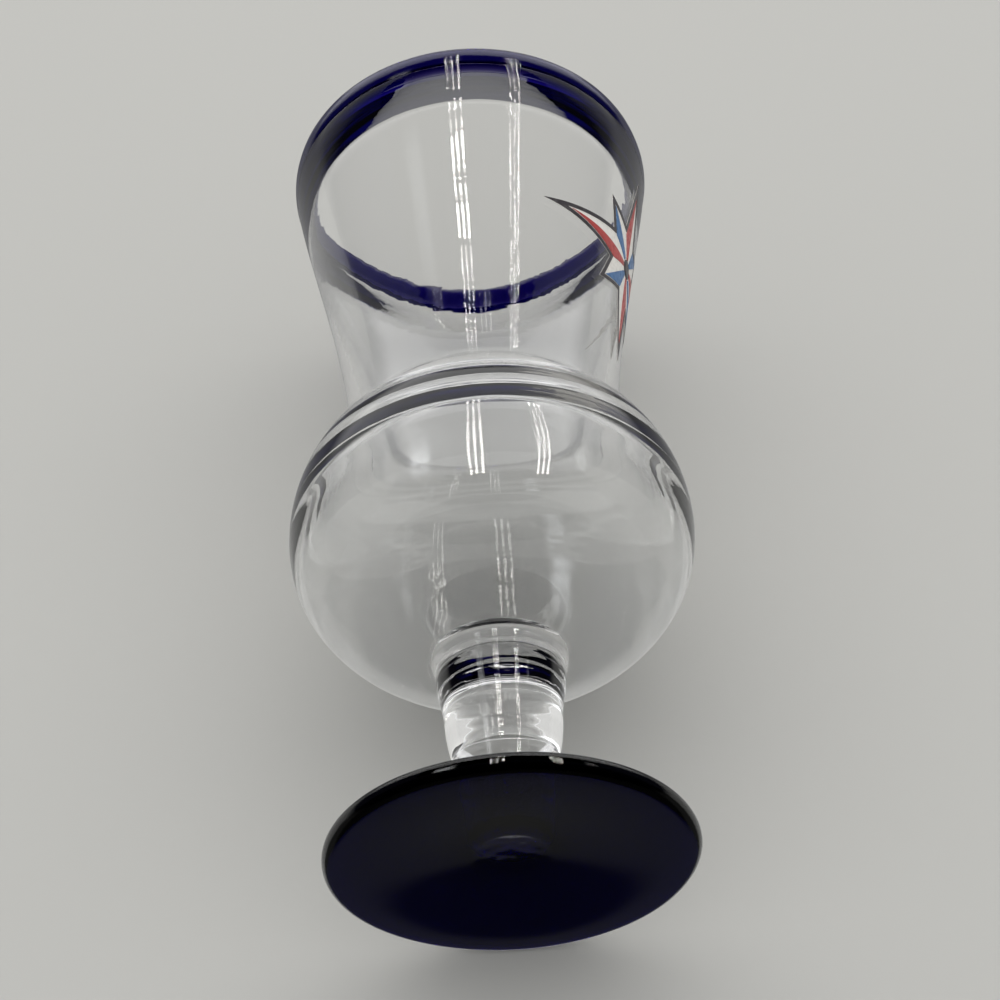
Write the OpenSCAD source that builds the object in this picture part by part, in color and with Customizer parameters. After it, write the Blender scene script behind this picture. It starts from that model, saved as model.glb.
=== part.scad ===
// Hand-blown hurricane glass with a cobalt foot and lip, a solid clear stem and a printed badge.
// Millimetres. The glass stands on the XY plane, its axis is Z and its front faces -Y.

/* [Foot] */
// Diameter of the foot
foot_d = 76; // [64:0.5:92]
// Thickness of the foot at its round edge
foot_edge = 4.2; // [3:0.1:6]
// Height of the middle of the foot, where the stem is stuck on
foot_h = 8.8; // [8:0.1:13]
// Width of the flat ring that the glass stands on
foot_ring_w = 1.2; // [0.8:0.1:4]
// Depth of the hollow under the foot
foot_hollow = 3.2; // [2:0.1:4]
// Diameter of the pontil mark in the hollow
pontil_d = 16; // [10:0.5:20]
// Depth of the pontil mark
pontil_depth = 0.9; // [0.4:0.1:1.2]

/* [Stem] */
// Length of the stem between the foot and the collar
stem_len = 25.8; // [18:0.1:45]
// Diameter of the stem where it was pressed on the foot
stem_low_d = 16.7; // [14:0.1:21]
// Diameter of the stem at its top
stem_top_d = 25; // [20:0.1:27]

/* [Collar] */
// Height of the collar between the stem and the bowl
collar_h = 10.6; // [7:0.1:16]
// Swell of the collar's side
collar_swell = 0.15; // [0.1:0.05:1.5]

/* [Bowl] */
// Diameter of the bowl's neck, which sits on the collar
seat_d = 27.7; // [22:0.1:32]
// Height of the straight neck above the collar
neck_h = 1.5; // [0.5:0.1:6]
// Size of the round between the neck and the bulb
neck_round = 2.5; // [1:0.1:6]
// Diameter of the bulb at its widest
bulb_d = 91.2; // [82:0.2:104]
// Height of the bulb's curve below its widest place
bulb_low = 34; // [28:0.5:42]
// Fullness of that curve, where 2 is an ellipse and more is squarer
bulb_full = 2.15; // [2:0.05:2.6]
// Height of the bulb's curve above its widest place
bulb_high = 40.4; // [36:0.2:48]
// Diameter of the crease between the bulb and the cup
waist_d = 63.5; // [56:0.1:72]
// Size of the round in that crease
waist_round = 1.2; // [0.6:0.1:3]
// Height of the cup above the crease, up to the rim band
cup_h = 83; // [62:0.5:110]
// How far above the crease the cup's wall starts to lean out
cup_rise = 23.6; // [14:0.2:32]
// How far below the rim band the cup's wall reaches the band's lean
cup_flare = 8.7; // [4:0.1:35]

/* [Walls] */
// Wall of the bulb at its widest
bulb_wall = 2; // [1.6:0.1:3.5]
// Fullness of the bulb's inside below its widest place
bulb_in_full = 3; // [2:0.1:3.4]
// How much lower the bulb's curve is inside than outside, above its widest place
shoulder_wall = 14.5; // [6:0.1:17]
// Wall in the crease
waist_wall = 3.5; // [2.6:0.1:6]
// Size of the round inside the crease
waist_in_round = 7.4; // [4:0.1:10]
// Wall of the cup below its lip
rim_wall = 3; // [2.4:0.1:4.2]
// Wall of the cup where it meets the rim band
lip_wall = 4.2; // [3:0.1:5]
// Height over which the wall thickens towards the rim band
lip_rise = 10.5; // [4:0.5:14]
// Thickness of the bowl's bottom on the axis
bottom_wall = 14.6; // [11:0.1:18]

/* [Rim band] */
// Diameter of the rim band where it meets the cup
rim_d = 91; // [80:0.2:104]
// Height of the rim band
band_h = 7; // [5:0.1:12]
// Diameter of the round lip
lip_d = 4.9; // [3:0.1:6]
// Outward lean of the wall at the rim, as width over height
rim_lean = 0.08; // [0.02:0.01:0.3]
// Swell of the rim band beyond the cup's wall
band_swell = 0.4; // [0.2:0.1:1.2]

/* [Print] */
// Reach of the badge's long points from its middle
badge_long = 24; // [17:0.5:26]
// Reach of the badge's short points from its middle
badge_short = 16; // [13:0.5:19]
// Reach of the notches between the points
badge_notch = 9.5; // [6:0.5:11]
// Diameter of the dot in the middle of the badge
badge_dot_d = 5; // [3:0.5:7]
// Width of the dark line round the badge
badge_line = 1; // [0.6:0.1:1.4]
// Distance from the rim band down to the middle of the badge
badge_drop = 37; // [33:0.5:45]
// Direction of the badge, in degrees from +X
badge_angle = -12; // [-180:1:180]
// Gap of bare ground round each field of colour
ink_gap = 0.3; // [0.2:0.1:0.6]
// Thickness of one layer of enamel
ink_t = 0.12; // [0.08:0.01:0.2]

/* [Hidden] */
$fn = 96;
// Steps along each curve of a profile
steps = 14;
// Long points of the badge, with a short point and two notches after each
long_points = 4;
star_step = 360 / (4 * long_points);

// Radii
foot_r = foot_d / 2;
stem_low_r = stem_low_d / 2;
stem_top_r = stem_top_d / 2;
seat_r = seat_d / 2;
bulb_r = bulb_d / 2;
waist_r = waist_d / 2;
rim_r = rim_d / 2;
lip_r = lip_d / 2;

// How far a full curve has dropped at a radius, and how steep it is there
function fall(r, across, height, full) = height * (1 - (r / across)^full)^(1 / full);
function slope(r, across, height, full) =
    let (part = (r / across)^full) height / across * (part / (1 - part))^(1 - 1 / full);

// A round leaves the bulb's curve on that curve's slope and turns upright
neck_rise = neck_round * slope(seat_r + neck_round, bulb_r, bulb_low, bulb_full);
neck_span = norm([neck_round, neck_rise]);
waist_rise = waist_round * slope(waist_r + waist_round, bulb_r, bulb_high, 2);

// Heights, from the table up
stem_z = foot_h;
collar_z = stem_z + stem_len;
seat_z = collar_z + collar_h;
neck_z = seat_z + neck_h;
neck_top = neck_z + neck_rise + neck_span;
bulb_z = neck_top + fall(seat_r + neck_round, bulb_r, bulb_low, bulb_full);
shoulder_z = bulb_z + fall(waist_r + waist_round, bulb_r, bulb_high, 2);
waist_z = shoulder_z + waist_rise + norm([waist_round, waist_rise]);
rim_z = waist_z + cup_h;
top_z = rim_z + band_h;
badge_z = rim_z - badge_drop;

// Inside of the bowl
bottom_z = seat_z + bottom_wall;
bulb_in_r = bulb_r - bulb_wall;
bulb_in_high = bulb_high - shoulder_wall;
waist_in_r = waist_r - waist_wall;
in_rise = waist_in_round * slope(waist_in_r + waist_in_round, bulb_in_r, bulb_in_high, 2);
shoulder_in_z = bulb_z + fall(waist_in_r + waist_in_round, bulb_in_r, bulb_in_high, 2);
waist_in_z = shoulder_in_z + in_rise + norm([waist_in_round, in_rise]);
lip_low = [rim_r - rim_wall - rim_lean * lip_rise, rim_z - lip_rise];
lip_top = [rim_r - lip_wall, rim_z];

// Curves as lists of points, given in order from start to end
function bend(a, b, c) =
    [for (i = [0 : steps]) let (t = i / steps) (1 - t)^2 * a + 2 * t * (1 - t) * b + t^2 * c];
function sweep(a, b, c, d) =
    [for (i = [0 : steps]) let (t = i / steps)
        (1 - t)^3 * a + 3 * t * (1 - t)^2 * b + 3 * t^2 * (1 - t) * c + t^3 * d];
function arc(middle, r, from, to) =
    [for (i = [0 : steps]) let (a = from + (to - from) * i / steps) middle + r * [cos(a), sin(a)]];
// A full curve from a radius near the axis out to its widest place, downwards where the height is below 0
function full_curve(middle_z, across, height, full, near_r) =
    let (end = acos((near_r / across)^(full / 2)))
    [for (i = [0 : steps]) let (a = end * (1 - i / steps))
        [across * cos(a)^(2 / full), middle_z + height * sin(a)^(2 / full)]];
function reversed(list) = [for (i = [len(list) - 1 : -1 : 0]) list[i]];
// A list without its first point, which the curve before it ends on
function rest(list) = [for (i = [1 : len(list) - 1]) list[i]];

// The cup's wall from the crease up to a height, outside or inside
function cup_wall(low_r, low_z, top) =
    sweep([low_r, low_z], [low_r, low_z + cup_rise], top - cup_flare * [rim_lean, 1], top);
function bowl_outside() = concat(
    [[seat_r, seat_z]],
    bend([seat_r, neck_z], [seat_r, neck_z + neck_span], [seat_r + neck_round, neck_top]),
    rest(full_curve(bulb_z, bulb_r, -bulb_low, bulb_full, seat_r + neck_round)),
    rest(reversed(full_curve(bulb_z, bulb_r, bulb_high, 2, waist_r + waist_round))),
    rest(bend([waist_r + waist_round, shoulder_z], [waist_r, shoulder_z + waist_rise], [waist_r, waist_z])),
    rest(cup_wall(waist_r, waist_z, [rim_r, rim_z])));
function bowl_inside() = concat(
    full_curve(bulb_z, bulb_in_r, bottom_z - bulb_z, bulb_in_full, 0),
    rest(reversed(full_curve(bulb_z, bulb_in_r, bulb_in_high, 2, waist_in_r + waist_in_round))),
    rest(bend([waist_in_r + waist_in_round, shoulder_in_z], [waist_in_r, shoulder_in_z + in_rise],
        [waist_in_r, waist_in_z])),
    rest(cup_wall(waist_in_r, waist_in_z, lip_low)),
    rest(bend(lip_low, lip_low + [0, lip_rise / 2], lip_top)));

// The foot: a spun disc that rises to the stem, drawn up below, standing on a narrow flat ring
module foot() {
    edge_r = foot_edge / 2;
    ring_out = foot_r - edge_r;
    ring_in = ring_out - foot_ring_w;
    pontil_r = pontil_d / 2;
    hollow = [for (i = [0 : steps])
        let (r = pontil_r + (ring_in - pontil_r) * i / steps)
        [r, foot_hollow * (1 + cos(180 * r / ring_in)) / 2]];
    pontil_z = hollow[0][1] + pontil_depth;
    pontil = bend([0, pontil_z], [pontil_r / 2, pontil_z], hollow[0]);
    edge = arc([ring_out, edge_r], edge_r, -90, 90);
    top = sweep([ring_out, foot_edge], [(ring_out + stem_low_r) / 2, foot_edge + edge_r / 2],
        [stem_low_r + edge_r, foot_h - edge_r / 2], [stem_low_r, foot_h]);
    color("midnightblue")
        rotate_extrude()
            polygon(concat(pontil, rest(hollow), edge, rest(top), [[0, foot_h]]));
}

// The stem: a solid post drawn out narrow at the foot and swelling to the collar
module stem() {
    side = sweep([stem_low_r, stem_z], [stem_low_r, stem_z + stem_len / 3],
        [stem_top_r, collar_z - stem_len / 3], [stem_top_r, collar_z]);
    color("lightcyan")
        rotate_extrude()
            polygon(concat([[0, stem_z]], side, [[0, collar_z]]));
}

// The collar: a button of glass with a swelling side and a crease at each end
module collar() {
    swell = sweep([stem_top_r, collar_z], [stem_top_r + collar_swell * 4 / 3, collar_z + collar_h / 3],
        [seat_r + collar_swell * 4 / 3, seat_z - collar_h / 3], [seat_r, seat_z]);
    color("lightcyan")
        rotate_extrude()
            polygon(concat([[0, collar_z]], swell, [[0, seat_z]]));
}

// The bowl: one blown bubble, thin at the bulb and thick at the bottom, in the shoulder and at the lip
module bowl() {
    color("azure", 0.5)
        rotate_extrude()
            polygon(concat([[0, seat_z]], bowl_outside(), reversed(bowl_inside())));
}

// The rim band: a wrap of cobalt glass that swells a little beyond the cup and ends in a round lip
module rim_band() {
    lip_shift = rim_lean * (band_h - lip_r);
    lip = arc([rim_r - lip_r + lip_shift, top_z - lip_r], lip_r, 0, 180);
    outside = bend([rim_r, rim_z], [rim_r + lip_shift / 2 + band_swell * 2, (rim_z + lip[0][1]) / 2], lip[0]);
    color("midnightblue")
        rotate_extrude()
            polygon(concat(outside, rest(lip), [lip_top]));
}

// A star outline with long and short points in turn and a notch between each two
function badge() =
    [for (i = [0 : 4 * long_points - 1])
        let (reach = i % 4 == 0 ? badge_long : i % 4 == 2 ? badge_short : badge_notch, a = 90 + star_step * i)
        reach * [cos(a), sin(a)]];

// An outline moved outwards by the same distance on every side
function outward(a, b) = let (along = (b - a) / norm(b - a)) [along[1], -along[0]];
function grown(outline, by) =
    [for (i = [0 : len(outline) - 1])
        let (here = outline[i],
            before = outward(outline[(i + len(outline) - 1) % len(outline)], here),
            after = outward(here, outline[(i + 1) % len(outline)]))
        here + by * (before + after) / (1 + before * after)];

// One half of each long point of the badge for which = 0, or of each short point for which = 2
module badge_halves(which, reach) {
    difference() {
        for (i = [0 : long_points - 1])
            rotate(90 + star_step * (which + 4 * i))
                polygon([[0, 0], [reach, 0], badge_notch * [cos(star_step), sin(star_step)]]);
        circle(d = badge_dot_d + 2 * ink_gap);
    }
}

// A layer of enamel on the cup's wall, in the outline of the flat shape that it is given
module enamel(layer) {
    wall = cup_wall(waist_r, waist_z, [rim_r, rim_z]);
    under = [for (p = wall) p + [layer * ink_t, 0]];
    over = [for (p = wall) p + [(layer + 1) * ink_t, 0]];
    rotate([0, 0, badge_angle])
        intersection() {
            rotate([0, 0, -90])
                rotate_extrude(angle = 180)
                    polygon(concat(under, reversed(over)));
            translate([0, 0, badge_z])
                rotate([90, 0, 90])
                    linear_extrude(rim_d)
                        children();
        }
}

// The white ground that the colours are printed on
module print_ground() {
    color("ivory") enamel(0) polygon(grown(badge(), ink_gap + badge_line));
}

// The red half of each long point
module print_red() {
    color("firebrick") enamel(1) badge_halves(0, badge_long);
}

// The blue half of each short point
module print_blue() {
    color("steelblue") enamel(1) badge_halves(2, badge_short);
}

// The dark line round the badge and the dot in its middle
module print_outline() {
    color("dimgray")
        enamel(1) {
            difference() {
                polygon(grown(badge(), ink_gap + badge_line));
                polygon(grown(badge(), ink_gap));
            }
            circle(d = badge_dot_d);
        }
}

foot();
stem();
collar();
bowl();
rim_band();
print_ground();
print_red();
print_blue();
print_outline();
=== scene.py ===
import math

import bmesh
import bpy
from mathutils import Matrix, Vector, noise


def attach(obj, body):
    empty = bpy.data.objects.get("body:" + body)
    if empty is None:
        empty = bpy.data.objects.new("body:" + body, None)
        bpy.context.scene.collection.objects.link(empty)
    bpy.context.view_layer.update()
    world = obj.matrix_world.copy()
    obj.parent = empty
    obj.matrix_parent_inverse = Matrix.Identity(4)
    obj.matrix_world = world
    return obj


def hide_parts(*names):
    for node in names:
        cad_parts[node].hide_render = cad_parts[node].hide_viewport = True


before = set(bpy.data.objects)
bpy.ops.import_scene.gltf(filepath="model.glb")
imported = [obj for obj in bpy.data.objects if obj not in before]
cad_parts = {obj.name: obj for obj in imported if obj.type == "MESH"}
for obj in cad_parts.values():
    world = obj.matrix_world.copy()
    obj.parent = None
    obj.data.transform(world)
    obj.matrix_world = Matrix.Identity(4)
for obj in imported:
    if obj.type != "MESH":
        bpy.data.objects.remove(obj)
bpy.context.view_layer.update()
scene = bpy.context.scene
scene.view_settings.view_transform = "Standard"

# Foot
# A disc of cobalt glass, put hot on the end of the stem and flattened with a board. Its underside is
# drawn up, so it stands on a narrow ring, and the middle keeps the mark where the rod was broken off.
mm = 0.001
foot_d = 76 * mm
foot_edge = 4.2 * mm
foot_h = 8.8 * mm
foot_ring_w = 1.2 * mm
foot_hollow = 3.2 * mm
pontil_d = 16 * mm
pontil_depth = 0.9 * mm
pontil_chip = 0.16 * mm
pontil_grain = 2.2 * mm
stem_low_d = 16.7 * mm
# Fused pieces run this far into each other
weld = 0.15 * mm
# Points of one mesh that are nearer than this are one point
merge_gap = 0.002 * mm
cobalt_density = 1500.0
cobalt_tint = (0.1, 0.0, 0.55, 1.0)


def bend(a, b, c, steps):
    """Points on a curve from a to c that is pulled towards b."""
    a, b, c = Vector(a), Vector(b), Vector(c)
    times = [i / steps for i in range(steps + 1)]
    return [a.lerp(b, t).lerp(b.lerp(c, t), t) for t in times]


def sweep(a, b, c, d, steps):
    """Points on a curve from a to d that leaves towards b and arrives from c."""
    a, b, c, d = Vector(a), Vector(b), Vector(c), Vector(d)
    first, second = bend(a, b, c, steps), bend(b, c, d, steps)
    return [p.lerp(q, i / steps) for i, (p, q) in enumerate(zip(first, second))]


def oval(middle_z, across, height, start, end, steps):
    """Points on an ellipse about the axis, between two angles in radians."""
    angles = [start + (end - start) * i / steps for i in range(steps + 1)]
    return [Vector((across * math.cos(a), middle_z + height * math.sin(a))) for a in angles]


def straight(a, b, steps):
    """Points on a line from a to b."""
    return [Vector(a).lerp(Vector(b), i / steps) for i in range(steps + 1)]


def joined(*runs):
    """One outline from runs of points, without the points that repeat where two runs meet."""
    outline = []
    for point in (p for run in runs for p in run):
        if not outline or (point - outline[-1]).length > 1e-7:
            outline.append(point)
    return outline


def put(tree, kind, feeds=None, **settings):
    """A new node in the tree with its settings, and each named input set, or linked from a socket."""
    node = tree.nodes.new(kind)
    for name, value in settings.items():
        setattr(node, name, value)
    for name, value in (feeds or {}).items():
        if isinstance(value, bpy.types.NodeSocket):
            tree.links.new(value, node.inputs[name])
        else:
            node.inputs[name].default_value = value
    return node


def math_of(tree, operation, *values):
    """The output of a math node."""
    return put(tree, "ShaderNodeMath", dict(enumerate(values)), operation=operation).outputs[0]


def new_tree(name, kind, inputs, outputs):
    """A node group with named sockets, and its input and output nodes."""
    tree = bpy.data.node_groups.new(name, kind)
    for in_out, sockets in (("INPUT", inputs), ("OUTPUT", outputs)):
        for socket_name, socket_type in sockets.items():
            tree.interface.new_socket(socket_name, in_out=in_out, socket_type=socket_type)
    return tree, tree.nodes.new("NodeGroupInput").outputs, tree.nodes.new("NodeGroupOutput").inputs


# The small unevenness of glass that is turned by hand: a slow sway, ripples that run round the piece, and
# near one height the close rings that a tool leaves outside
sway_tree, given, result = new_tree(
    "hand_worked_sway",
    "GeometryNodeTree",
    {
        "Geometry": "NodeSocketGeometry",
        "Sway": "NodeSocketFloat",
        "Sway Size": "NodeSocketFloat",
        "Ripple": "NodeSocketFloat",
        "Ripple Size": "NodeSocketFloat",
        "Ring": "NodeSocketFloat",
        "Ring Size": "NodeSocketFloat",
        "Ring Middle": "NodeSocketFloat",
        "Ring Reach": "NodeSocketFloat",
        "Lift": "NodeSocketFloat",
    },
    {"Geometry": "NodeSocketGeometry"},
)
place = put(sway_tree, "GeometryNodeInputPosition").outputs[0]
axes = put(sway_tree, "ShaderNodeSeparateXYZ", {0: place}).outputs
slow_place = put(
    sway_tree, "ShaderNodeVectorMath", {0: place, 1: given["Sway Size"]}, operation="DIVIDE"
).outputs[0]
slow = put(sway_tree, "ShaderNodeTexNoise", {"Vector": slow_place, "Scale": 1.0, "Detail": 1.0}).outputs[0]


def waves_round(size, stretch):
    """Noise in waves of the given size up the axis, drawn out round it."""
    along = math_of(sway_tree, "MULTIPLY", size, stretch)
    scaled = put(
        sway_tree,
        "ShaderNodeCombineXYZ",
        {
            "X": math_of(sway_tree, "DIVIDE", axes["X"], along),
            "Y": math_of(sway_tree, "DIVIDE", axes["Y"], along),
            "Z": math_of(sway_tree, "DIVIDE", axes["Z"], size),
        },
    ).outputs[0]
    return put(sway_tree, "ShaderNodeTexNoise", {"Vector": scaled, "Scale": 1.0, "Detail": 1.0}).outputs[0]


off_middle = math_of(
    sway_tree, "ABSOLUTE", math_of(sway_tree, "SUBTRACT", axes["Z"], given["Ring Middle"])
)
tooled = put(
    sway_tree,
    "ShaderNodeMapRange",
    {"Value": off_middle, "From Max": given["Ring Reach"], "To Min": 1.0, "To Max": 0.0},
    interpolation_type="SMOOTHSTEP",
).outputs[0]
from_axis = put(
    sway_tree, "ShaderNodeVectorMath", {0: place, 1: (1.0, 1.0, 0.0)}, operation="MULTIPLY"
).outputs[0]
facing = put(
    sway_tree,
    "ShaderNodeVectorMath",
    {0: put(sway_tree, "GeometryNodeInputNormal").outputs[0], 1: from_axis},
    operation="DOT_PRODUCT",
).outputs["Value"]
tooled = math_of(sway_tree, "MULTIPLY", tooled, math_of(sway_tree, "GREATER_THAN", facing, 0.0))
amount = given["Lift"]
for wave, depth in (
    (slow, given["Sway"]),
    (waves_round(given["Ripple Size"], 7.0), given["Ripple"]),
    (waves_round(given["Ring Size"], 40.0), math_of(sway_tree, "MULTIPLY", given["Ring"], tooled)),
):
    centred = math_of(sway_tree, "SUBTRACT", wave, 0.5)
    amount = math_of(sway_tree, "ADD", amount, math_of(sway_tree, "MULTIPLY", centred, depth))
reach = put(sway_tree, "ShaderNodeVectorMath", {0: from_axis}, operation="LENGTH").outputs["Value"]
share = math_of(sway_tree, "DIVIDE", amount, math_of(sway_tree, "MAXIMUM", reach, 5 * mm))
push = put(
    sway_tree, "ShaderNodeVectorMath", {0: from_axis, "Scale": share}, operation="SCALE"
).outputs[0]
swayed = put(sway_tree, "GeometryNodeSetPosition", {"Geometry": given["Geometry"], "Offset": push})
sway_tree.links.new(swayed.outputs[0], result["Geometry"])

# Glass turned on the rod: an outline swept round the axis, closed on itself, then worked by hand. An edge
# that folds more than the crease angle stays sharp
crease_angle = math.radians(38)
turn_tree, given, result = new_tree(
    "turned_glass",
    "GeometryNodeTree",
    {
        "Outline": "NodeSocketGeometry",
        "Around": "NodeSocketInt",
        "Weld Below": "NodeSocketFloat",
        "Weld Above": "NodeSocketFloat",
        "Sway": "NodeSocketFloat",
        "Sway Size": "NodeSocketFloat",
        "Ripple": "NodeSocketFloat",
        "Ripple Size": "NodeSocketFloat",
        "Ring": "NodeSocketFloat",
        "Ring Size": "NodeSocketFloat",
        "Ring Middle": "NodeSocketFloat",
        "Ring Reach": "NodeSocketFloat",
        "Glass": "NodeSocketMaterial",
    },
    {"Geometry": "NodeSocketGeometry"},
)
count = put(
    turn_tree, "GeometryNodeAttributeDomainSize", {"Geometry": given["Outline"]}, component="MESH"
).outputs["Point Count"]
grid = put(
    turn_tree,
    "GeometryNodeMeshGrid",
    {
        "Size X": 1.0,
        "Size Y": 1.0,
        "Vertices X": count,
        "Vertices Y": math_of(turn_tree, "ADD", given["Around"], 1.0),
    },
).outputs["Mesh"]
place = put(turn_tree, "GeometryNodeInputPosition").outputs[0]
axes = put(turn_tree, "ShaderNodeSeparateXYZ", {0: place}).outputs
row = put(
    turn_tree,
    "FunctionNodeFloatToInt",
    {
        0: math_of(
            turn_tree,
            "MULTIPLY",
            math_of(turn_tree, "ADD", axes["X"], 0.5),
            math_of(turn_tree, "SUBTRACT", count, 1.0),
        )
    },
    rounding_mode="ROUND",
).outputs[0]
on_outline = put(
    turn_tree,
    "GeometryNodeSampleIndex",
    {"Geometry": given["Outline"], "Index": row},
    data_type="FLOAT_VECTOR",
    domain="POINT",
)
turn_tree.links.new(place, on_outline.inputs["Value"])
flat = put(turn_tree, "ShaderNodeSeparateXYZ", {0: on_outline.outputs[0]}).outputs
angle = math_of(turn_tree, "MULTIPLY", math_of(turn_tree, "ADD", axes["Y"], 0.5), -2 * math.pi)
spun = put(
    turn_tree,
    "ShaderNodeCombineXYZ",
    {
        "X": math_of(turn_tree, "MULTIPLY", flat["X"], math_of(turn_tree, "COSINE", angle)),
        "Y": math_of(turn_tree, "MULTIPLY", flat["X"], math_of(turn_tree, "SINE", angle)),
        "Z": flat["Z"],
    },
).outputs[0]
turned = put(turn_tree, "GeometryNodeSetPosition", {"Geometry": grid, "Position": spun}).outputs[0]
closed = put(
    turn_tree, "GeometryNodeMergeByDistance", {"Geometry": turned, "Distance": merge_gap}
).outputs[0]
height = put(
    turn_tree, "ShaderNodeSeparateXYZ", {0: put(turn_tree, "GeometryNodeInputPosition").outputs[0]}
).outputs["Z"]
at_weld = [
    math_of(turn_tree, "COMPARE", height, given[end], 0.01 * mm) for end in ("Weld Below", "Weld Above")
]
marked = put(
    turn_tree,
    "GeometryNodeStoreNamedAttribute",
    {"Geometry": closed, "Name": "fused", "Value": math_of(turn_tree, "MAXIMUM", *at_weld)},
    data_type="FLOAT",
    domain="FACE",
).outputs[0]
worked = put(turn_tree, "GeometryNodeGroup", node_tree=sway_tree)
turn_tree.links.new(marked, worked.inputs["Geometry"])
for worked_by in ("Sway", "Ripple", "Ring"):
    for name in (worked_by, worked_by + " Size"):
        turn_tree.links.new(given[name], worked.inputs[name])
for name in ("Ring Middle", "Ring Reach"):
    turn_tree.links.new(given[name], worked.inputs[name])
smooth = put(turn_tree, "GeometryNodeSetShadeSmooth", {"Geometry": worked.outputs[0]}, domain="FACE")
fold = put(turn_tree, "GeometryNodeInputMeshEdgeAngle").outputs["Unsigned Angle"]
creased = put(
    turn_tree,
    "GeometryNodeSetShadeSmooth",
    {
        "Geometry": smooth.outputs[0],
        "Selection": math_of(turn_tree, "GREATER_THAN", fold, crease_angle),
        "Shade Smooth": False,
    },
    domain="EDGE",
).outputs[0]
whole = put(turn_tree, "GeometryNodeRealizeInstances", {"Geometry": creased}).outputs[0]
made = put(
    turn_tree, "GeometryNodeSetMaterial", {"Geometry": whole, "Material": given["Glass"]}
).outputs[0]
turn_tree.links.new(made, result["Geometry"])


def shaped(name, mesh, tree, **sizes):
    """An object with the mesh that the tree makes of the given one."""
    piece = bpy.data.objects.new(name, mesh)
    scene.collection.objects.link(piece)
    modifier = piece.modifiers.new(tree.name, "NODES")
    modifier.node_group = tree
    for item in tree.interface.items_tree:
        key = item.name.lower().replace(" ", "_")
        if item.in_out == "INPUT" and key in sizes:
            modifier[item.identifier] = sizes[key]
    depsgraph = bpy.context.evaluated_depsgraph_get()
    made_mesh = bpy.data.meshes.new_from_object(piece.evaluated_get(depsgraph))
    piece.modifiers.remove(modifier)
    piece.data = made_mesh
    made_mesh.name = name
    bpy.data.meshes.remove(mesh)
    return piece


def turned_piece(name, outline, **sizes):
    """A piece of turned glass on the given outline, which runs from the bottom outwards and up."""
    line = bpy.data.meshes.new(name + "_outline")
    line.from_pydata([(p.x, 0.0, p.y) for p in outline], [], [])
    return shaped(name, line, turn_tree, **sizes)


def new_material(name):
    """A material with its tree emptied but for the output, and those two."""
    material = bpy.data.materials.new(name)
    material.use_nodes = True
    tree = material.node_tree
    tree.nodes.clear()
    return material, tree, tree.nodes.new("ShaderNodeOutputMaterial").inputs


# The skin of glass that was worked hot and handled since: fine drawn ripples, which are stronger on the cup,
# and smears of fingers and dust
ripple_scale = 260.0
smear_scale = 60.0
bump_depth = 1 * mm
low_bump, cup_bump = 0.02, 0.026
cup_bump_from, cup_bump_full = 112 * mm, 125 * mm
skin_tree, given, result = new_tree(
    "worked_glass_skin",
    "ShaderNodeTree",
    {"Vector": "NodeSocketVector", "Ripple Scale": "NodeSocketFloat", "Smear Scale": "NodeSocketFloat"},
    {"Height": "NodeSocketFloat", "Smear": "NodeSocketFloat", "Cord": "NodeSocketFloat"},
)
drawn = put(
    skin_tree, "ShaderNodeVectorMath", {0: given["Vector"], 1: (0.35, 0.35, 1.0)}, operation="MULTIPLY"
).outputs[0]
fine = put(
    skin_tree, "ShaderNodeTexNoise", {"Vector": drawn, "Scale": given["Ripple Scale"], "Detail": 2.0}
).outputs[0]
skin_tree.links.new(fine, result["Height"])
patch = put(
    skin_tree,
    "ShaderNodeTexNoise",
    {"Vector": given["Vector"], "Scale": given["Smear Scale"], "Detail": 5.0, "Roughness": 0.65},
).outputs[0]
smear = put(
    skin_tree,
    "ShaderNodeMapRange",
    {"Value": patch, "From Min": 0.52, "From Max": 0.75},
    interpolation_type="SMOOTHSTEP",
).outputs[0]
skin_tree.links.new(smear, result["Smear"])
cord = put(
    skin_tree,
    "ShaderNodeTexNoise",
    {"Vector": drawn, "Scale": given["Smear Scale"], "Detail": 3.0, "Distortion": 1.5},
).outputs[0]
skin_tree.links.new(cord, result["Cord"])


def glass_material(name, clean, corded, ior, gloss, most_roughness):
    """Glass with faint cords in its colour, and the skin of worked glass. It is see-through where fused."""
    material, tree, out = new_material(name)
    where = put(tree, "ShaderNodeTexCoord").outputs["Object"]
    skin = put(
        tree,
        "ShaderNodeGroup",
        {"Vector": where, "Ripple Scale": ripple_scale, "Smear Scale": smear_scale},
        node_tree=skin_tree,
    )
    colour = put(
        tree,
        "ShaderNodeMix",
        {"Factor": skin.outputs["Cord"], "A": clean, "B": corded},
        data_type="RGBA",
    )
    rough = put(
        tree,
        "ShaderNodeMapRange",
        {"Value": skin.outputs["Smear"], "To Min": 0.0, "To Max": most_roughness},
    )
    height = put(tree, "ShaderNodeSeparateXYZ", {0: where}).outputs["Z"]
    rippled = put(
        tree,
        "ShaderNodeMapRange",
        {
            "Value": height,
            "From Min": cup_bump_from,
            "From Max": cup_bump_full,
            "To Min": low_bump,
            "To Max": cup_bump,
        },
    )
    bump = put(
        tree,
        "ShaderNodeBump",
        {"Height": skin.outputs["Height"], "Strength": rippled.outputs[0], "Distance": bump_depth},
    )
    fused = put(tree, "ShaderNodeAttribute", attribute_name="fused").outputs["Fac"]
    glass = put(
        tree,
        "ShaderNodeBsdfPrincipled",
        {
            "Base Color": colour.outputs["Result"],
            "Roughness": rough.outputs[0],
            "IOR": ior,
            "Specular Tint": gloss,
            "Transmission Weight": 1.0,
            "Normal": bump.outputs[0],
            "Alpha": math_of(tree, "SUBTRACT", 1.0, fused),
        },
    )
    tree.links.new(glass.outputs[0], out["Surface"])
    return material, tree, out


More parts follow.
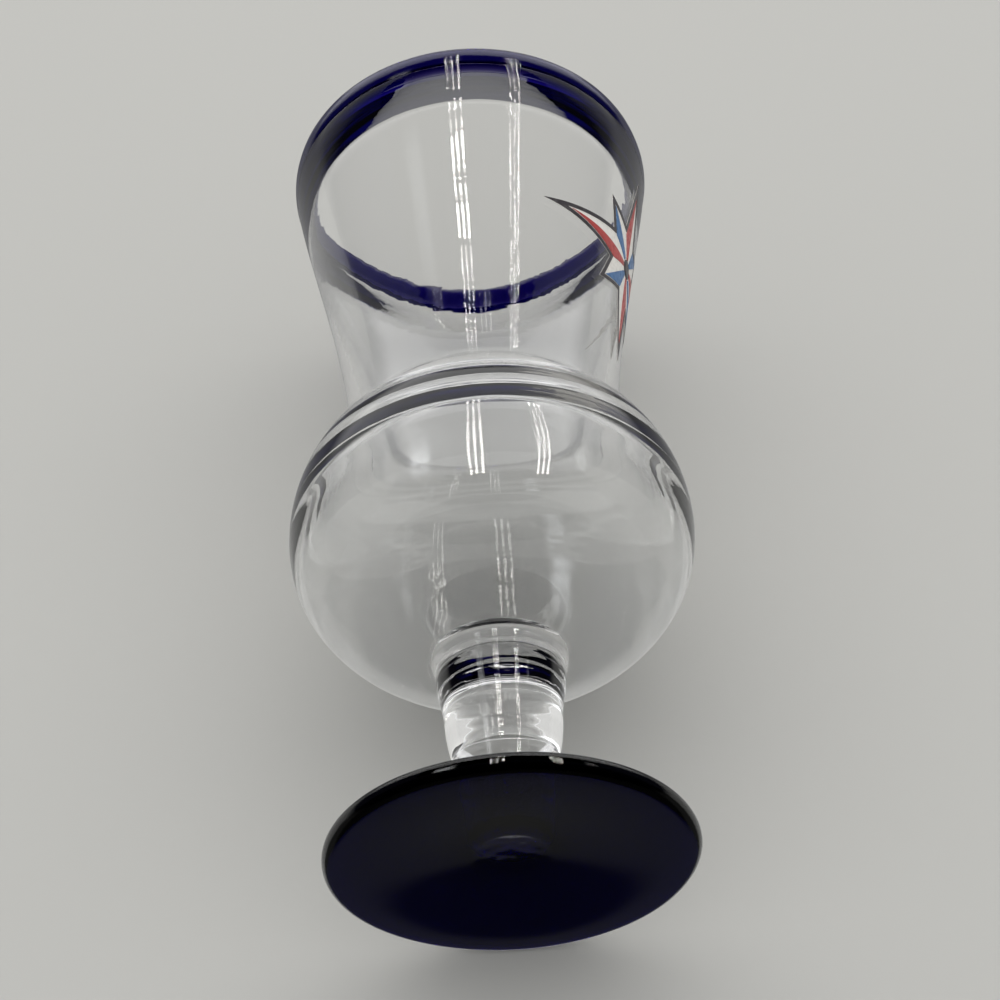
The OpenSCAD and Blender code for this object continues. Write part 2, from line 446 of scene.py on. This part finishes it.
cobalt, tree, out = glass_material(
    "cobalt_glass", (1, 1, 1, 1), (0.9, 0.9, 0.95, 1), 1.5, (1, 1, 1, 1), 0.06
)
stain = put(tree, "ShaderNodeVolumeAbsorption", {"Color": cobalt_tint, "Density": cobalt_density})
tree.links.new(stain.outputs[0], out["Volume"])

edge_r = foot_edge / 2
ring_out = foot_d / 2 - edge_r
ring_in = ring_out - foot_ring_w
pontil_r = pontil_d / 2
boss_r = stem_low_d / 2


def hollow_at(r):
    """Height of the hollow under the foot."""
    return foot_hollow * (1 + math.cos(math.pi * r / ring_in)) / 2


pontil_z = hollow_at(pontil_r) + pontil_depth
foot_outline = joined(
    bend((0, pontil_z), (pontil_r / 2, pontil_z), (pontil_r, hollow_at(pontil_r)), 16),
    [Vector((r.x, hollow_at(r.x))) for r in straight((pontil_r, 0), (ring_in, 0), 40)],
    straight((ring_in, 0), (ring_out, 0), 4),
    [p + Vector((ring_out, 0)) for p in oval(edge_r, edge_r, edge_r, -math.pi / 2, math.pi / 2, 24)],
    sweep(
        (ring_out, foot_edge),
        ((ring_out + boss_r) / 2, foot_edge + edge_r / 2),
        (boss_r + edge_r, foot_h - edge_r / 2),
        (boss_r, foot_h),
        40,
    ),
    straight((boss_r, foot_h), (0, foot_h), 8),
)
foot = turned_piece(
    "foot_disc",
    foot_outline,
    around=224,
    weld_below=-1.0,
    weld_above=foot_h,
    sway=0.5 * mm,
    sway_size=40 * mm,
    ripple=0.08 * mm,
    ripple_size=6 * mm,
    glass=cobalt,
)
# The broken glass of the mark
for vertex in foot.data.vertices:
    inwards = 1 - (vertex.co.xy.length / pontil_r) ** 2
    if inwards > 0 and vertex.co.z < foot_h / 2:
        vertex.co.z += pontil_chip * inwards * noise.noise(vertex.co / pontil_grain)
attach(foot, "root")
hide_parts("foot")

# Stem
# A solid post of clear glass, drawn out of the collar while soft. It narrows towards the foot, where it
# was pressed on.
stem_len = 25.8 * mm
stem_top_d = 25 * mm
clear, _, _ = glass_material(
    "clear_glass", (1, 1, 1, 1), (0.975, 0.98, 0.985, 1), 1.5, (1, 1, 1, 1), 0.03
)

stem_z = foot_h
collar_z = stem_z + stem_len
stem_low_r = stem_low_d / 2
stem_top_r = stem_top_d / 2
stem_outline = joined(
    straight((0, stem_z - weld), (stem_low_r, stem_z - weld), 8),
    sweep(
        (stem_low_r, stem_z),
        (stem_low_r, stem_z + stem_len / 3),
        (stem_top_r, collar_z - stem_len / 3),
        (stem_top_r, collar_z),
        50,
    ),
    straight((stem_top_r, collar_z), (0, collar_z), 8),
)
stem = turned_piece(
    "stem_post",
    stem_outline,
    around=192,
    weld_below=stem_z - weld,
    weld_above=collar_z,
    sway=0.2 * mm,
    sway_size=25 * mm,
    ripple=0.02 * mm,
    ripple_size=5 * mm,
    glass=clear,
)
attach(stem, "root")
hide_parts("stem")

# Collar
# A button of clear glass between the stem and the bowl, swollen at the side, with a crease above and
# below where it was pinched in with the jacks.
collar_h = 10.6 * mm
collar_swell = 0.15 * mm
seat_d = 27.7 * mm

seat_z = collar_z + collar_h
seat_r = seat_d / 2
swell = collar_swell * 4 / 3
collar_outline = joined(
    straight((0, collar_z - weld), (stem_top_r, collar_z - weld), 8),
    sweep(
        (stem_top_r, collar_z),
        (stem_top_r + swell, collar_z + collar_h / 3),
        (seat_r + swell, seat_z - collar_h / 3),
        (seat_r, seat_z),
        28,
    ),
    straight((seat_r, seat_z), (0, seat_z), 8),
)
collar = turned_piece(
    "collar_button",
    collar_outline,
    around=192,
    weld_below=collar_z - weld,
    weld_above=seat_z,
    sway=0.2 * mm,
    sway_size=25 * mm,
    ripple=0.02 * mm,
    ripple_size=5 * mm,
    ring=0.09 * mm,
    ring_size=1.3 * mm,
    ring_middle=(collar_z + seat_z) / 2,
    ring_reach=8 * mm,
    glass=clear,
)
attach(collar, "root")
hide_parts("collar")

# Bowl
# One blown bubble of clear glass, necked in between a low bulb and a tall flaring cup. The wall is
# thin at the bulb, and thick at the bottom, in the shoulder and in the crease.
neck_h = 1.5 * mm
neck_round = 2.5 * mm
bulb_d = 91.2 * mm
bulb_low = 34 * mm
bulb_full = 2.15
bulb_high = 40.4 * mm
waist_d = 63.5 * mm
waist_round = 1.2 * mm
cup_h = 83 * mm
cup_rise = 23.6 * mm
cup_flare = 8.7 * mm
bulb_wall = 2 * mm
bulb_in_full = 3
shoulder_wall = 14.5 * mm
waist_wall = 3.5 * mm
rim_wall = 3 * mm
lip_wall = 4.2 * mm
lip_rise = 10.5 * mm
bottom_wall = 14.6 * mm
waist_in_round = 7.4 * mm
rim_d = 91 * mm
rim_lean = 0.08

bulb_r = bulb_d / 2
waist_r = waist_d / 2
rim_r = rim_d / 2


def fall(r, across, height, full):
    """How far a full curve has dropped at a radius. A fullness of 2 is an ellipse, and more is squarer."""
    return height * (1 - (r / across) ** full) ** (1 / full)


def slope(r, across, height, full):
    """How steep a full curve is at a radius."""
    part = (r / across) ** full
    return height / across * (part / (1 - part)) ** (1 - 1 / full)


def full_curve(middle_z, across, height, full, near_r, steps):
    """Points on a full curve, from the radius near the axis to its widest place. Height below 0 is down."""
    end = math.acos((near_r / across) ** (full / 2))
    angles = [end * (1 - i / steps) for i in range(steps + 1)]
    return [
        Vector((across * math.cos(a) ** (2 / full), middle_z + height * math.sin(a) ** (2 / full)))
        for a in angles
    ]


neck_rise = neck_round * slope(seat_r + neck_round, bulb_r, bulb_low, bulb_full)
neck_span = math.hypot(neck_round, neck_rise)
waist_rise = waist_round * slope(waist_r + waist_round, bulb_r, bulb_high, 2)
neck_z = seat_z + neck_h
neck_top = neck_z + neck_rise + neck_span
bulb_z = neck_top + fall(seat_r + neck_round, bulb_r, bulb_low, bulb_full)
shoulder_z = bulb_z + fall(waist_r + waist_round, bulb_r, bulb_high, 2)
waist_z = shoulder_z + waist_rise + math.hypot(waist_round, waist_rise)
rim_z = waist_z + cup_h

bottom_z = seat_z + bottom_wall
bulb_in_r = bulb_r - bulb_wall
bulb_in_high = bulb_high - shoulder_wall
waist_in_r = waist_r - waist_wall
in_rise = waist_in_round * slope(waist_in_r + waist_in_round, bulb_in_r, bulb_in_high, 2)
shoulder_in_z = bulb_z + fall(waist_in_r + waist_in_round, bulb_in_r, bulb_in_high, 2)
waist_in_z = shoulder_in_z + in_rise + math.hypot(waist_in_round, in_rise)


def cup_wall(low_r, low_z, top_r, top_z, steps):
    """The cup's wall from the crease up to a height."""
    return sweep(
        (low_r, low_z),
        (low_r, low_z + cup_rise),
        (top_r - rim_lean * cup_flare, top_z - cup_flare),
        (top_r, top_z),
        steps,
    )


lip_low = Vector((rim_r - rim_wall - rim_lean * lip_rise, rim_z - lip_rise))
lip_top = Vector((rim_r - lip_wall, rim_z))
bowl_outside = joined(
    straight((seat_r, seat_z), (seat_r, neck_z), 4),
    bend((seat_r, neck_z), (seat_r, neck_z + neck_span), (seat_r + neck_round, neck_top), 14),
    full_curve(bulb_z, bulb_r, -bulb_low, bulb_full, seat_r + neck_round, 36),
    reversed(full_curve(bulb_z, bulb_r, bulb_high, 2, waist_r + waist_round, 110)),
    bend((waist_r + waist_round, shoulder_z), (waist_r, shoulder_z + waist_rise), (waist_r, waist_z), 14),
    cup_wall(waist_r, waist_z, rim_r, rim_z, 70),
)
bowl_inside = joined(
    full_curve(bulb_z, bulb_in_r, bottom_z - bulb_z, bulb_in_full, 0, 44),
    reversed(full_curve(bulb_z, bulb_in_r, bulb_in_high, 2, waist_in_r + waist_in_round, 60)),
    bend(
        (waist_in_r + waist_in_round, shoulder_in_z),
        (waist_in_r, shoulder_in_z + in_rise),
        (waist_in_r, waist_in_z),
        24,
    ),
    cup_wall(waist_in_r, waist_in_z, lip_low.x, lip_low.y, 44),
    bend(lip_low, lip_low + Vector((0, lip_rise / 2)), lip_top, 14),
)
bowl_outline = joined(
    straight((0, seat_z - weld), (seat_r, seat_z - weld), 8),
    bowl_outside,
    straight((rim_r, rim_z), lip_top, 3),
    list(reversed(bowl_inside)),
)
cup_sway = {"sway": 0.6 * mm, "sway_size": 55 * mm, "ripple": 0.03 * mm, "ripple_size": 8 * mm}
bowl = turned_piece(
    "blown_bowl",
    bowl_outline,
    around=224,
    weld_below=seat_z - weld,
    weld_above=rim_z,
    ring=0.09 * mm,
    ring_size=2.2 * mm,
    ring_middle=waist_z - 11 * mm,
    ring_reach=14 * mm,
    glass=clear,
    **cup_sway,
)
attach(bowl, "root")
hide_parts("bowl")

# Rim band
# A thread of cobalt glass wound round the lip of the cup and melted in. It swells a little beyond
# the wall and ends in a round, fire-polished lip.
band_h = 7 * mm
band_swell = 0.4 * mm
lip_d = 4.9 * mm
thread_density = 1050.0
thread_tint = (0.1, 0.0, 0.62, 1.0)

thread, tree, out = glass_material(
    "cobalt_thread", (1, 1, 1, 1), (0.9, 0.9, 0.95, 1), 1.5, (1, 1, 1, 1), 0.06
)
stain = put(tree, "ShaderNodeVolumeAbsorption", {"Color": thread_tint, "Density": thread_density})
tree.links.new(stain.outputs[0], out["Volume"])

lip_r = lip_d / 2
top_z = rim_z + band_h
lip_shift = rim_lean * (band_h - lip_r)
lip_middle = Vector((rim_r - lip_r + lip_shift, 0))
lip = [p + lip_middle for p in oval(top_z - lip_r, lip_r, lip_r, 0, math.pi, 20)]
band_base = rim_z - weld
band_outline = joined(
    straight((lip_top.x, band_base), (rim_r, band_base), 3),
    bend((rim_r, rim_z), (rim_r + lip_shift / 2 + band_swell * 2, (rim_z + lip[0].y) / 2), lip[0], 16),
    lip,
    straight(lip[-1], lip_top, 12),
    [Vector((lip_top.x, band_base))],
)
band = turned_piece(
    "rim_wrap",
    band_outline,
    around=224,
    weld_below=band_base,
    weld_above=-1.0,
    glass=thread,
    **cup_sway,
)
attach(band, "root")
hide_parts("rim_band")

# Printed badge
# A star with long and short points, screen printed on the cup in enamel and fired on: a white ground
# first, then the red and blue halves of the points, and last a dark line round it all.
ink_sink = -0.05 * mm
mottle_scale = 900.0
enamels = {
    "print_ground": ("white_enamel", (0.80, 0.78, 0.73, 1), (0.70, 0.68, 0.63, 1)),
    "print_red": ("red_enamel", (0.46, 0.055, 0.05, 1), (0.34, 0.035, 0.035, 1)),
    "print_blue": ("blue_enamel", (0.05, 0.16, 0.36, 1), (0.035, 0.11, 0.27, 1)),
    "print_outline": ("dark_enamel", (0.035, 0.03, 0.035, 1), (0.06, 0.055, 0.06, 1)),
}

# A film of enamel that follows the worked wall under it
film_tree, given, result = new_tree(
    "enamel_film",
    "GeometryNodeTree",
    {
        "Film": "NodeSocketGeometry",
        "Sway": "NodeSocketFloat",
        "Sway Size": "NodeSocketFloat",
        "Ripple": "NodeSocketFloat",
        "Ripple Size": "NodeSocketFloat",
        "Lift": "NodeSocketFloat",
        "Enamel": "NodeSocketMaterial",
    },
    {"Geometry": "NodeSocketGeometry"},
)
on_wall = put(film_tree, "GeometryNodeGroup", node_tree=sway_tree)
film_tree.links.new(given["Film"], on_wall.inputs["Geometry"])
for name in ("Sway", "Sway Size", "Ripple", "Ripple Size", "Lift"):
    film_tree.links.new(given[name], on_wall.inputs[name])
whole = put(film_tree, "GeometryNodeRealizeInstances", {"Geometry": on_wall.outputs[0]}).outputs[0]
made = put(film_tree, "GeometryNodeSetMaterial", {"Geometry": whole, "Material": given["Enamel"]})
film_tree.links.new(made.outputs[0], result["Geometry"])

# Ink that was pushed through a screen: mottled where the film is thin
ink_tree, given, result = new_tree(
    "screened_ink",
    "ShaderNodeTree",
    {"Vector": "NodeSocketVector", "Mottle Scale": "NodeSocketFloat"},
    {"Thin": "NodeSocketFloat", "Height": "NodeSocketFloat"},
)
mottle = put(
    ink_tree,
    "ShaderNodeTexNoise",
    {"Vector": given["Vector"], "Scale": given["Mottle Scale"], "Detail": 4.0, "Roughness": 0.6},
).outputs[0]
thin = put(ink_tree, "ShaderNodeMapRange", {"Value": mottle, "From Min": 0.42, "From Max": 0.68}).outputs[0]
ink_tree.links.new(thin, result["Thin"])
ink_tree.links.new(mottle, result["Height"])

for node_name, (slot_name, full, thinned) in enamels.items():
    ink, tree, out = new_material(slot_name)
    where = put(tree, "ShaderNodeTexCoord").outputs["Object"]
    screened = put(
        tree, "ShaderNodeGroup", {"Vector": where, "Mottle Scale": mottle_scale}, node_tree=ink_tree
    ).outputs
    colour = put(
        tree, "ShaderNodeMix", {"Factor": screened["Thin"], "A": full, "B": thinned}, data_type="RGBA"
    )
    rough = put(tree, "ShaderNodeMapRange", {"Value": screened["Thin"], "To Min": 0.28, "To Max": 0.5})
    bump = put(
        tree, "ShaderNodeBump", {"Height": screened["Height"], "Strength": 0.25, "Distance": 0.1 * mm}
    )
    enamel = put(
        tree,
        "ShaderNodeBsdfPrincipled",
        {
            "Base Color": colour.outputs["Result"],
            "Roughness": rough.outputs[0],
            "IOR": 1.55,
            "Normal": bump.outputs[0],
        },
    )
    tree.links.new(enamel.outputs[0], out["Surface"])
    film_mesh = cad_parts[node_name].data.copy()
    film_mesh.materials.clear()
    welded = bmesh.new()
    welded.from_mesh(film_mesh)
    bmesh.ops.remove_doubles(welded, verts=welded.verts, dist=merge_gap)
    welded.to_mesh(film_mesh)
    welded.free()
    film = shaped(node_name + "_film", film_mesh, film_tree, lift=ink_sink, enamel=ink, **cup_sway)
    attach(film, "root")
    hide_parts(node_name)

# Table
# The pale board that the glass lies on in the picture, touching the foot's edge and the bulb. Only its
# upper side shows, so other views look past it, and it throws no light or shadow on the rest.
table_tilt = math.atan((bulb_r - foot_d / 2) / (bulb_z - edge_r))
table_gap = (foot_d / 2) * math.cos(table_tilt)
table_across = 1.2
table_low, table_high = -0.6, 0.425
table_colour = (0.56, 0.56, 0.54, 1)


def stage_plane(name, across, low, high, matrix, material):
    """A rectangle that faces its own +Z."""
    mesh = bpy.data.meshes.new(name)
    half = across / 2
    mesh.from_pydata(
        [(-half, low, 0), (half, low, 0), (half, high, 0), (-half, high, 0)], [], [(0, 1, 2, 3)]
    )
    mesh.transform(matrix)
    mesh.materials.append(material)
    plane = bpy.data.objects.new(name, mesh)
    scene.collection.objects.link(plane)
    return plane


def one_sided(name, colour):
    """A matt stage finish that shows on its front only."""
    material, tree, out = new_material(name)
    board = put(tree, "ShaderNodeBsdfDiffuse", {"Color": colour})
    behind = put(tree, "ShaderNodeNewGeometry").outputs["Backfacing"]
    sides = put(tree, "ShaderNodeMixShader", {0: behind, 1: board.outputs[0]})
    tree.links.new(put(tree, "ShaderNodeBsdfTransparent").outputs[0], sides.inputs[2])
    tree.links.new(sides.outputs[0], out["Surface"])
    return material


table_place = (
    Matrix.Rotation(-table_tilt, 4, "X")
    @ Matrix.Translation((0, table_gap, 0))
    @ Matrix.Rotation(math.pi / 2, 4, "X")
)
table_board = one_sided("table_board", table_colour)
table = stage_plane("table", table_across, table_low, table_high, table_place, table_board)
table.visible_diffuse = False
table.visible_glossy = False
table.visible_shadow = False

# Floor
# A pale floor under the standing glass, a hair below it, so that no two faces lie in one plane. It shows from
# above only, and casts nothing.
floor_gap = 0.3 * mm
floor_across = 3.0
floor_colour = (0.82, 0.82, 0.80, 1)
floor_place = Matrix.Translation((0, 0, -floor_gap))
floor_board = one_sided("floor_board", floor_colour)
floor = stage_plane("floor", floor_across, -floor_across / 2, floor_across / 2, floor_place, floor_board)
floor.visible_diffuse = False
floor.visible_glossy = False
floor.visible_shadow = False

# Lamps
# Two long ceiling fittings of three rows of small lights each, well in front of the glass. They show in
# the glass as pairs of dotted streaks. The matt surfaces take their light from the room.
lamp_away = 1.2
lamp_middles = (-0.12, 0.66)
lamp_low, lamp_high = -0.3, 1.42
lamp_rows, lamp_columns = 31, 3
lamp_width = 0.14
dot_r = 0.017
dot_glow = 40.0
dots_tree, given, result = new_tree(
    "rows_of_small_lights",
    "GeometryNodeTree",
    {
        "Geometry": "NodeSocketGeometry",
        "Rows": "NodeSocketInt",
        "Columns": "NodeSocketInt",
        "Length": "NodeSocketFloat",
        "Width": "NodeSocketFloat",
        "Dot": "NodeSocketFloat",
        "Place": "NodeSocketVector",
        "Glow": "NodeSocketMaterial",
    },
    {"Geometry": "NodeSocketGeometry"},
)
board = put(
    dots_tree,
    "GeometryNodeMeshGrid",
    {
        "Size X": given["Width"],
        "Size Y": given["Length"],
        "Vertices X": given["Columns"],
        "Vertices Y": given["Rows"],
    },
).outputs["Mesh"]
dot = put(
    dots_tree, "GeometryNodeMeshCircle", {"Vertices": 12, "Radius": given["Dot"]}, fill_type="NGON"
).outputs[0]
dots = put(dots_tree, "GeometryNodeInstanceOnPoints", {"Points": board, "Instance": dot}).outputs[0]
stood = put(
    dots_tree,
    "GeometryNodeTransform",
    {"Geometry": dots, "Translation": given["Place"], "Rotation": (math.pi / 2, 0.0, 0.0)},
).outputs[0]
whole = put(dots_tree, "GeometryNodeRealizeInstances", {"Geometry": stood}).outputs[0]
made = put(dots_tree, "GeometryNodeSetMaterial", {"Geometry": whole, "Material": given["Glow"]})
dots_tree.links.new(made.outputs[0], result["Geometry"])


def glow_material(name, colour, strength):
    """A light that glass shows, and that casts nothing on matt surfaces, with its tree and its strength."""
    material, tree, out = new_material(name)
    from_matt = put(tree, "ShaderNodeLightPath").outputs["Diffuse Depth"]
    seen = math_of(tree, "LESS_THAN", from_matt, 0.5)
    shone = math_of(tree, "MULTIPLY", seen, strength)
    glow = put(tree, "ShaderNodeEmission", {"Color": colour, "Strength": shone})
    tree.links.new(glow.outputs[0], out["Surface"])
    return material, tree, glow.inputs["Strength"]


def only_in_glass(lamp):
    """Hides a lamp from the camera, from matt surfaces and from shadows, so that only reflections and glass
    show it.
    """
    lamp.visible_camera = False
    lamp.visible_diffuse = False
    lamp.visible_shadow = False


white_glow, _, _ = glow_material("small_light", (1.0, 0.98, 0.94, 1), dot_glow)
for index, middle in enumerate(lamp_middles):
    fitting = shaped(
        f"ceiling_fitting_{index}",
        bpy.data.meshes.new("fitting"),
        dots_tree,
        rows=lamp_rows,
        columns=lamp_columns,
        length=lamp_high - lamp_low,
        width=lamp_width,
        dot=dot_r,
        place=(middle, -lamp_away, (lamp_low + lamp_high) / 2),
        glow=white_glow,
    )
    only_in_glass(fitting)

# Windows
# Two broad panels to the left and right of the lamps, which show as dull patches in the glass. They fade
# out at their sides and towards the top.
panels = {
    "left_panel": {"across": (-1.05, -0.6), "along": (-0.3, 1.0), "strength": 5.0},
    "right_panel": {"across": (1.15, 1.55), "along": (-0.2, 0.9), "strength": 4.0},
}


def front_panel(name, across, along, material):
    """A rectangle in the plane of the lamps, between two places across and two up."""
    (left, right), (low, high) = across, along
    mesh = bpy.data.meshes.new(name)
    corners = [(left, low), (left, high), (right, high), (right, low)]
    mesh.from_pydata([(x, -lamp_away, z) for x, z in corners], [], [(0, 1, 2, 3)])
    mesh.materials.append(material)
    panel = bpy.data.objects.new(name, mesh)
    scene.collection.objects.link(panel)
    return panel


for name, sizes in panels.items():
    (left, right), (low, high), strength = sizes["across"], sizes["along"], sizes["strength"]
    window, tree, glow = glow_material(name, (0.97, 0.99, 1.0, 1), strength)
    where = put(
        tree, "ShaderNodeSeparateXYZ", {0: put(tree, "ShaderNodeTexCoord").outputs["Object"]}
    ).outputs
    shone = glow.links[0].from_socket
    for axis, full, gone in (
        ("X", (2 * left + right) / 3, left),
        ("X", (left + 2 * right) / 3, right),
        ("Z", (2 * low + high) / 3, low),
        ("Z", (3 * low + high) / 4, high),
    ):
        fade = put(
            tree,
            "ShaderNodeMapRange",
            {"Value": where[axis], "From Min": gone, "From Max": full},
            interpolation_type="SMOOTHSTEP",
        ).outputs[0]
        shone = math_of(tree, "MULTIPLY", shone, fade)
    tree.links.new(shone, glow)
    panel = front_panel(name, sizes["across"], sizes["along"], window)
    only_in_glass(panel)

# Ceiling light
# A broad soft light, up and in front. It lights the matt surfaces, through the glass too, and doesn't
# show in the glass itself.
ceiling_strength = 1.45
ceiling_across = (-1.4, 1.6)
ceiling_along = (0.0, 1.4)


def glass_sight(tree):
    """The rays' own facts, and 1 for a ray that comes by glass alone, with nothing matt on its way."""
    facts = put(tree, "ShaderNodeLightPath").outputs
    shows = math_of(tree, "MAXIMUM", facts["Is Glossy Ray"], facts["Is Transmission Ray"])
    no_matt = math_of(tree, "LESS_THAN", facts["Diffuse Depth"], 0.5)
    return facts, math_of(tree, "MULTIPLY", shows, no_matt)


ceiling, tree, out = new_material("ceiling_light")
rays, by_sight = glass_sight(tree)
glow = put(
    tree,
    "ShaderNodeEmission",
    {
        "Color": (1.0, 0.99, 0.97, 1),
        "Strength": math_of(tree, "MULTIPLY", math_of(tree, "SUBTRACT", 1.0, by_sight), ceiling_strength),
    },
)
tree.links.new(glow.outputs[0], out["Surface"])
ceiling_panel = front_panel("ceiling_light", ceiling_across, ceiling_along, ceiling)
ceiling_panel.visible_camera = False
ceiling_panel.visible_shadow = False

# World
# A room that is pale behind the table, dim in front of it and dark under the foot. What is matt gets even
# light from it, more of it behind the bulb. Glass that only bends the view shows the pale room, and grey
# overhead.
room_light = 0.7
behind_light = 1.8
behind_walls = (4.5, 8.5)
behind_welds = 2.5
side_fade = (0.1, 0.25)
overhead_fade = (0.55, 0.75)
least_below = 0.03
below_steps = ((-0.56, -0.48, 0.12), (-0.2, 0.0, 0.85))
pale = (0.52, 0.52, 0.505, 1)
dim = (0.024, 0.024, 0.042, 1)
beyond = (0.2, 0.2, 0.205, 1)
bright = (1.1, 1.1, 1.1, 1)
world = bpy.data.worlds.new("room")
scene.world = world
world.use_nodes = True
room = world.node_tree
room.nodes.clear()
heading = put(
    room, "ShaderNodeSeparateXYZ", {0: put(room, "ShaderNodeTexCoord").outputs["Generated"]}
).outputs
side = put(
    room,
    "ShaderNodeMapRange",
    {"Value": heading["Y"], "From Min": side_fade[0], "From Max": side_fade[1]},
).outputs[0]
shaded = least_below
for gone, full, rise in below_steps:
    step = put(
        room,
        "ShaderNodeMapRange",
        {"Value": heading["Z"], "From Min": gone, "From Max": full, "To Max": rise},
        interpolation_type="SMOOTHSTEP",
    ).outputs[0]
    shaded = math_of(room, "ADD", shaded, step)
level = put(room, "ShaderNodeMix", {"Factor": side, "A": dim, "B": pale}, data_type="RGBA")
level = put(
    room,
    "ShaderNodeMix",
    {"Factor": shaded, "A": (0, 0, 0, 1), "B": level.outputs["Result"]},
    data_type="RGBA",
)
raised = put(
    room,
    "ShaderNodeMapRange",
    {"Value": heading["Z"], "From Min": overhead_fade[0], "From Max": overhead_fade[1]},
).outputs[0]
overhead = put(room, "ShaderNodeMix", {"Factor": side, "A": bright, "B": beyond}, data_type="RGBA")
walls = put(
    room,
    "ShaderNodeMix",
    {"Factor": raised, "A": level.outputs["Result"], "B": overhead.outputs["Result"]},
    data_type="RGBA",
)
rays, through_glass = glass_sight(room)
seen = put(room, "ShaderNodeBackground", {"Color": walls.outputs["Result"], "Strength": 1.0})
behind = math_of(
    room,
    "MULTIPLY",
    math_of(room, "GREATER_THAN", rays["Transmission Depth"], behind_walls[0]),
    math_of(room, "LESS_THAN", rays["Transmission Depth"], behind_walls[1]),
)
few_welds = math_of(room, "LESS_THAN", rays["Transparent Depth"], behind_welds)
behind = math_of(room, "MULTIPLY", behind, few_welds)
even_light = math_of(room, "MULTIPLY_ADD", behind, behind_light - room_light, room_light)
even = put(room, "ShaderNodeBackground", {"Color": (1, 1, 1, 1), "Strength": even_light})
straight_on = put(room, "ShaderNodeBackground", {"Color": pale, "Strength": 1.0})
lit = put(room, "ShaderNodeMixShader", {0: through_glass, 1: even.outputs[0], 2: seen.outputs[0]})
unturned = math_of(room, "MULTIPLY", rays["Is Transmission Ray"], through_glass)
unturned = math_of(room, "MULTIPLY", unturned, math_of(room, "LESS_THAN", rays["Glossy Depth"], 0.5))
unturned = math_of(room, "MULTIPLY", unturned, math_of(room, "SUBTRACT", 1.0, raised))
in_sight = math_of(room, "MAXIMUM", rays["Is Camera Ray"], unturned)
shown = put(room, "ShaderNodeMixShader", {0: in_sight, 1: lit.outputs[0], 2: straight_on.outputs[0]})
room_out = room.nodes.new("ShaderNodeOutputWorld")
room.links.new(shown.outputs[0], room_out.inputs["Surface"])

# Camera
# It looks up at the glass from below its foot, close by, as in the picture. Light may cross many walls of
# glass before it ends.
camera_data = bpy.data.cameras.new("camera")
camera_data.sensor_width = 36
camera_data.lens = 68.4
camera = bpy.data.objects.new("camera", camera_data)
scene.collection.objects.link(camera)
camera_right = Vector((0.99787, 0.03986, -0.05173))
camera_up = Vector((0.06528, -0.63120, 0.77287))
camera_back = camera_right.cross(camera_up).normalized()
camera_up = camera_back.cross(camera_right).normalized()
camera.matrix_world = Matrix.Translation((0.001527, -0.338592, -0.182163)) @ Matrix(
    (camera_right.normalized(), camera_up, camera_back)
).transposed().to_4x4()
scene.camera = camera
scene.cycles.max_bounces = 24
scene.cycles.transmission_bounces = 24
scene.cycles.glossy_bounces = 12
scene.cycles.transparent_max_bounces = 24
